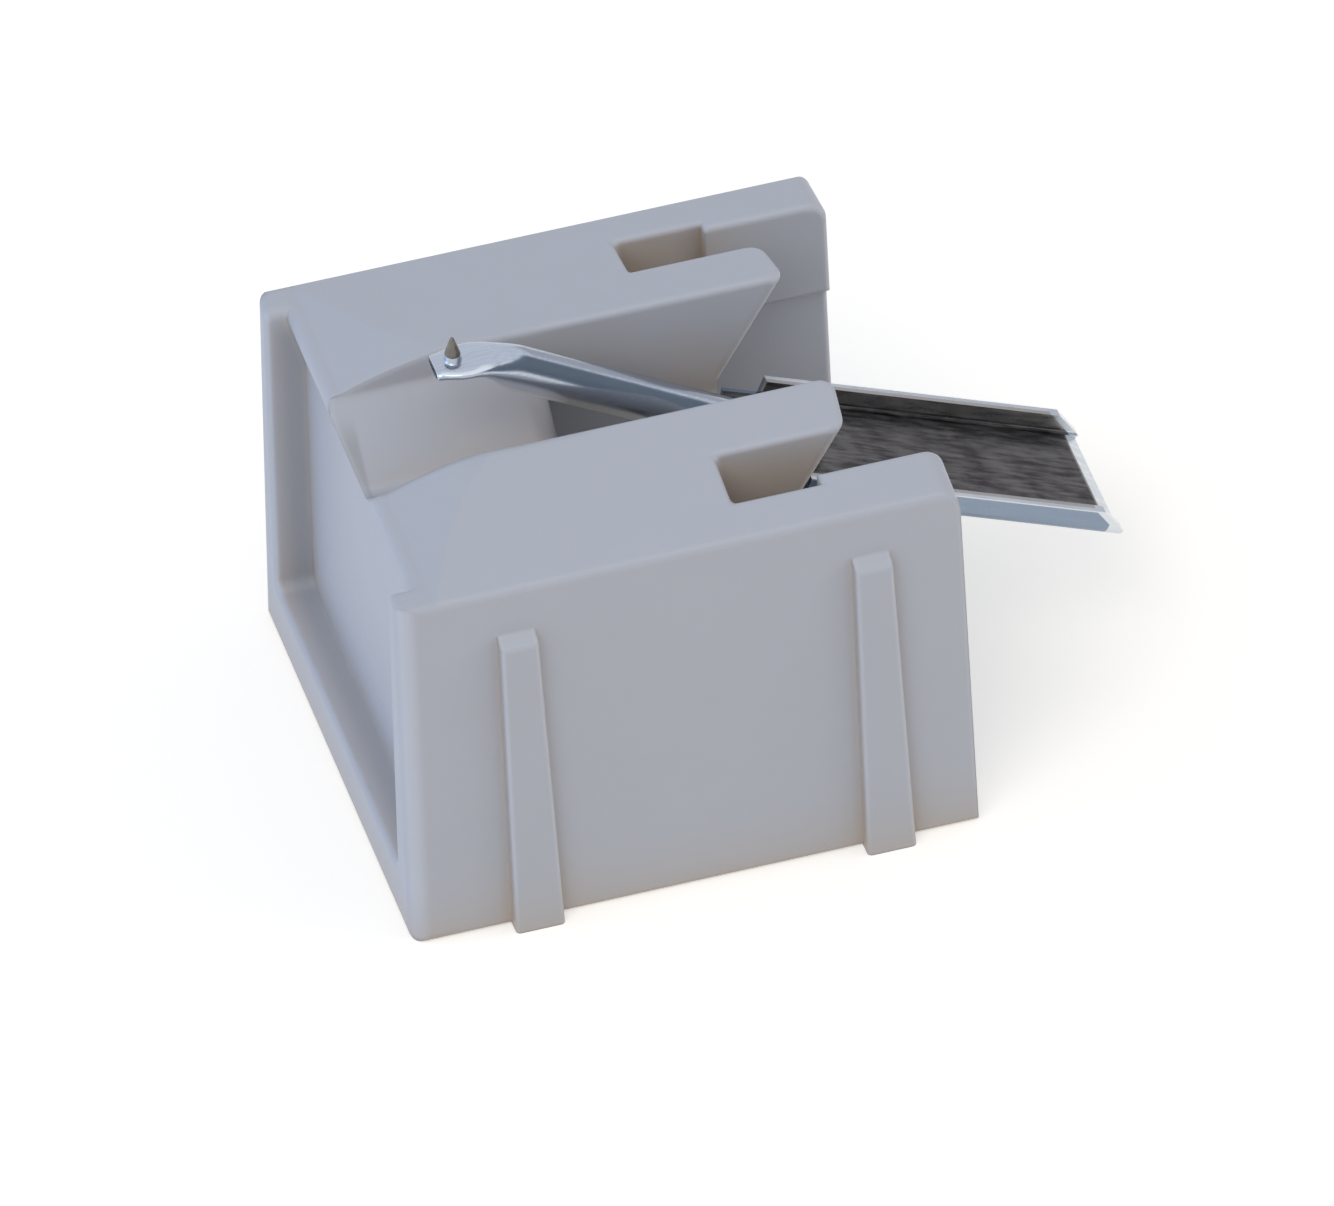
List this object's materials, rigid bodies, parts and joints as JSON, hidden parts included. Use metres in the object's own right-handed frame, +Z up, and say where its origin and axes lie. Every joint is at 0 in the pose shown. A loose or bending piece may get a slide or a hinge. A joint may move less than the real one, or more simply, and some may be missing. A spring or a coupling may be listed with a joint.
{
  "type": "turntable replacement stylus",
  "caption": "Plug-in stylus for a turntable cartridge: grey moulded grip with open slot, slim metal cantilever with tip on a rubber pivot, and a folded metal channel behind.",
  "frame": {"origin": "centre of the footprint, on the plane of the holder's base rim", "axes": "+X from the front recess to the plug-in channel at the back, +Z up through the stylus tip, Y across the mirror-symmetric holder"},
  "size_m": [0.0156, 0.0112, 0.0106],
  "materials": {
    "holder_plastic": "satin moulded",
    "channel_steel": "rolled, streaked",
    "tube_aluminium": "polished",
    "shank_metal": "polished",
    "diamond": "polished, dark",
    "pin_steel": "drawn wire",
    "damper_rubber": "matte",
    "magnet_metal": "sintered"
  },
  "bodies": {
    "holder": {"stylus_holder": "holder_plastic", "carrier_channel": "channel_steel"},
    "damper": {"damper_block": "damper_rubber"},
    "cantilever": {"cantilever": "tube_aluminium", "tip_shank": "shank_metal", "diamond_tip": "diamond", "pivot_pin": "pin_steel", "magnet": "magnet_metal"}
  },
  "joints": [
    {"name": "sideways_swing", "type": "hinge", "parent": "holder", "child": "damper", "pos_m": [0.00123, 0, 0.00652], "axis": [0.3923, 0, 0.9198], "range_deg": [-3, 3], "stiffness_Nm_per_rad": 0.0029},
    {"name": "vertical_swing", "type": "hinge", "parent": "damper", "child": "cantilever", "pos_m": [0.00123, 0, 0.00652], "axis": [0, 1, 0], "range_deg": [-4, 3], "stiffness_Nm_per_rad": 0.0029, "deforming": ["damper_block"]}
  ]
}
